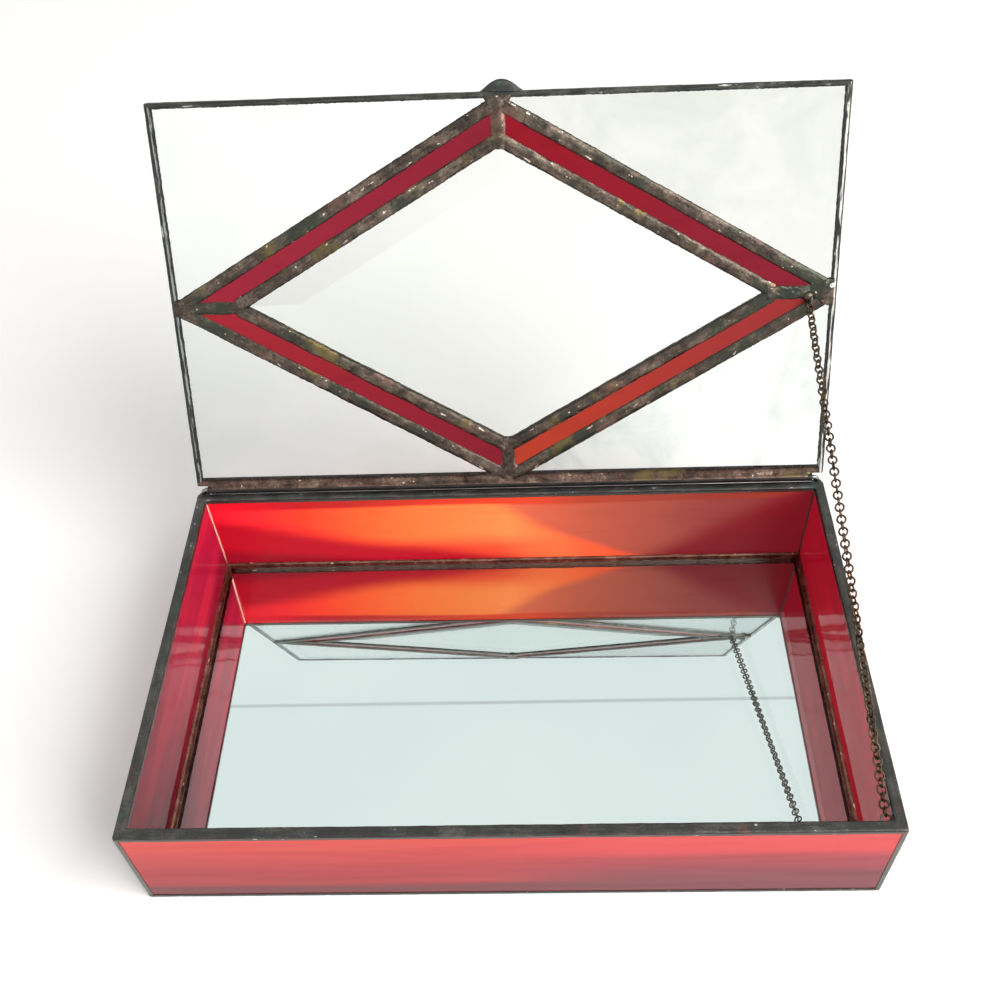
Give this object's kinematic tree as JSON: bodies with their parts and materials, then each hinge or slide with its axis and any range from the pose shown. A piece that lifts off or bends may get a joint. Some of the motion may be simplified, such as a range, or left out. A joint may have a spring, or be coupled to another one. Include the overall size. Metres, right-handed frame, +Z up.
{
  "type": "glass casket box",
  "caption": "Low rectangular box of opal glass panes joined by solder, with a mirror floor, a hinged glass lid with a bevelled diamond, and a chain stay.",
  "frame": {"origin": "middle of the flat underside of the tray", "axes": "+X right along the hinge, -Y front, +Z up; the lid stands open, held back by the chain"},
  "size_m": [0.2284, 0.1991, 0.1662],
  "materials": {
    "red_glass": "streaky opal",
    "orange_glass": "streaky opal",
    "clear_glass": "swirled texture",
    "bevel_glass": "polished bevel",
    "mirror": "polished",
    "mirror_coat": "matt paint",
    "dark_solder": "dark patina",
    "brown_solder": "brown patina",
    "bright_solder": "bright",
    "dark_brass": "dark patina",
    "steel": "drawn",
    "chain_brass": "aged"
  },
  "bodies": {
    "tray": {"front_pane": "red_glass", "back_pane": "orange_glass", "left_pane": "red_glass", "right_pane": "red_glass", "mirror_floor": "mirror", "mirror_backing": "mirror_coat", "rim_bead": "dark_solder", "base_bead": "dark_solder", "floor_seam": "brown_solder", "hinge_rod": "steel", "rod_joint_left": "dark_solder", "rod_joint_right": "dark_solder", "tray_eye": "brown_solder", "corner_seam_front_left": "dark_solder", "corner_seam_front_right": "dark_solder", "corner_seam_back_left": "dark_solder", "corner_seam_back_right": "dark_solder"},
    "lid": {"lid_pane_front_left": "clear_glass", "lid_pane_front_right": "clear_glass", "lid_pane_back_left": "clear_glass", "lid_pane_back_right": "clear_glass", "strip_front_left": "red_glass", "strip_front_right": "red_glass", "strip_back_left": "red_glass", "strip_back_right": "orange_glass", "outer_seam_front_left": "brown_solder", "outer_seam_front_right": "brown_solder", "outer_seam_back_left": "brown_solder", "outer_seam_back_right": "brown_solder", "inner_seam_front_left": "brown_solder", "inner_seam_front_right": "brown_solder", "inner_seam_back_left": "brown_solder", "inner_seam_back_right": "brown_solder", "bevel_diamond": "bevel_glass", "lid_edge_front": "dark_solder", "lid_edge_back": "brown_solder", "lid_edge_left": "dark_solder", "lid_edge_right": "dark_solder", "mitre_front": "brown_solder", "mitre_back": "brown_solder", "mitre_left": "brown_solder", "mitre_right": "brown_solder", "hinge_tube": "dark_brass", "thumb_tab": "dark_solder", "lid_eye": "brown_solder", "solder_drop": "bright_solder"},
    "chain_1": {"chain_1": "chain_brass"},
    "chain_2": {"chain_2": "chain_brass"},
    "chain_3": {"chain_3": "chain_brass"},
    "chain_4": {"chain_4": "chain_brass"},
    "chain_5": {"chain_5": "chain_brass"},
    "chain_6": {"chain_6": "chain_brass"},
    "chain_7": {"chain_7": "chain_brass"},
    "chain_8": {"chain_8": "chain_brass"},
    "chain_9": {"chain_9": "chain_brass"},
    "chain_10": {"chain_10": "chain_brass"},
    "chain_11": {"chain_11": "chain_brass"},
    "chain_12": {"chain_12": "chain_brass"},
    "chain_13": {"chain_13": "chain_brass"},
    "chain_14": {"chain_14": "chain_brass"}
  },
  "joints": [
    {"name": "lid_hinge", "type": "hinge", "parent": "tray", "child": "lid", "pos_m": [0, 0.0683, 0.0423], "axis": [1, 0, 0], "range_deg": [0, 116.3]},
    {"name": "chain_1_swing", "type": "hinge", "parent": "tray", "child": "chain_1", "pos_m": [0.1091, -0.0612, 0.0392], "axis": [-0.997, 0.0705, -0.0306], "range_deg": [0, 110.21]},
    {"name": "chain_2_swing", "type": "hinge", "parent": "chain_1", "child": "chain_2", "pos_m": [0.10883, -0.0521, 0.04278], "axis": [0.5888, -0.7224, -0.3626], "range_deg": [0, 19.82]},
    {"name": "chain_3_swing", "type": "hinge", "parent": "chain_2", "child": "chain_3", "pos_m": [0.10848, -0.0408, 0.04723], "axis": [0.8198, -0.4854, 0.3038], "range_deg": [0, 36.03]},
    {"name": "chain_4_swing", "type": "hinge", "parent": "chain_3", "child": "chain_4", "pos_m": [0.10814, -0.0295, 0.05168], "axis": [0.6516, -0.3329, 0.6816], "range_deg": [0, 43.08]},
    {"name": "chain_5_swing", "type": "hinge", "parent": "chain_4", "child": "chain_5", "pos_m": [0.1078, -0.0182, 0.05613], "axis": [0.3718, 0.3455, 0.8616], "range_deg": [0, 37.11]},
    {"name": "chain_6_swing", "type": "hinge", "parent": "chain_5", "child": "chain_6", "pos_m": [0.10746, -0.00689, 0.06058], "axis": [0.2539, 0.9668, 0.0297], "range_deg": [0, 32.91]},
    {"name": "chain_7_swing", "type": "hinge", "parent": "chain_6", "child": "chain_7", "pos_m": [0.10712, 0.00441, 0.06504], "axis": [0.7957, 0.4494, -0.4061], "range_deg": [0, 42.81]},
    {"name": "chain_8_swing", "type": "hinge", "parent": "chain_7", "child": "chain_8", "pos_m": [0.10678, 0.01571, 0.06949], "axis": [0.9357, 0.0417, -0.3502], "range_deg": [0, 43.23]},
    {"name": "chain_9_swing", "type": "hinge", "parent": "chain_8", "child": "chain_9", "pos_m": [0.10644, 0.02701, 0.07394], "axis": [0.9141, -0.0469, -0.4027], "range_deg": [0, 43.42]},
    {"name": "chain_10_swing", "type": "hinge", "parent": "chain_9", "child": "chain_10", "pos_m": [0.1061, 0.03832, 0.07839], "axis": [0.7874, -0.2073, -0.5806], "range_deg": [0, 43.51]},
    {"name": "chain_11_swing", "type": "hinge", "parent": "chain_10", "child": "chain_11", "pos_m": [0.10576, 0.04962, 0.08284], "axis": [0.846, -0.5162, -0.1333], "range_deg": [0, 43.45]},
    {"name": "chain_12_swing", "type": "hinge", "parent": "chain_11", "child": "chain_12", "pos_m": [0.10541, 0.06092, 0.08729], "axis": [0.8838, -0.3894, 0.2593], "range_deg": [0, 43.44]},
    {"name": "chain_13_swing", "type": "hinge", "parent": "chain_12", "child": "chain_13", "pos_m": [0.10507, 0.07222, 0.09174], "axis": [0.6638, -0.5343, 0.5234], "range_deg": [0, 35.01]},
    {"name": "chain_14_swing", "type": "hinge", "parent": "chain_13", "child": "chain_14", "pos_m": [0.10473, 0.08353, 0.09619], "axis": [0.9555, -0.1326, 0.2634], "range_deg": [0, 14.72], "deforming": ["chain_14"]}
  ],
  "couplings": [
    {"joint": "chain_1_swing", "follows": "lid_hinge", "ratio": 0.94752},
    {"joint": "chain_2_swing", "follows": "lid_hinge", "ratio": 0.17032},
    {"joint": "chain_3_swing", "follows": "lid_hinge", "ratio": 0.30975},
    {"joint": "chain_4_swing", "follows": "lid_hinge", "ratio": 0.37036},
    {"joint": "chain_5_swing", "follows": "lid_hinge", "ratio": 0.31904},
    {"joint": "chain_6_swing", "follows": "lid_hinge", "ratio": 0.28293},
    {"joint": "chain_7_swing", "follows": "lid_hinge", "ratio": 0.36802},
    {"joint": "chain_8_swing", "follows": "lid_hinge", "ratio": 0.37166},
    {"joint": "chain_9_swing", "follows": "lid_hinge", "ratio": 0.37324},
    {"joint": "chain_10_swing", "follows": "lid_hinge", "ratio": 0.37406},
    {"joint": "chain_11_swing", "follows": "lid_hinge", "ratio": 0.37351},
    {"joint": "chain_12_swing", "follows": "lid_hinge", "ratio": 0.37345},
    {"joint": "chain_13_swing", "follows": "lid_hinge", "ratio": 0.30093},
    {"joint": "chain_14_swing", "follows": "lid_hinge", "ratio": 0.12652}
  ]
}
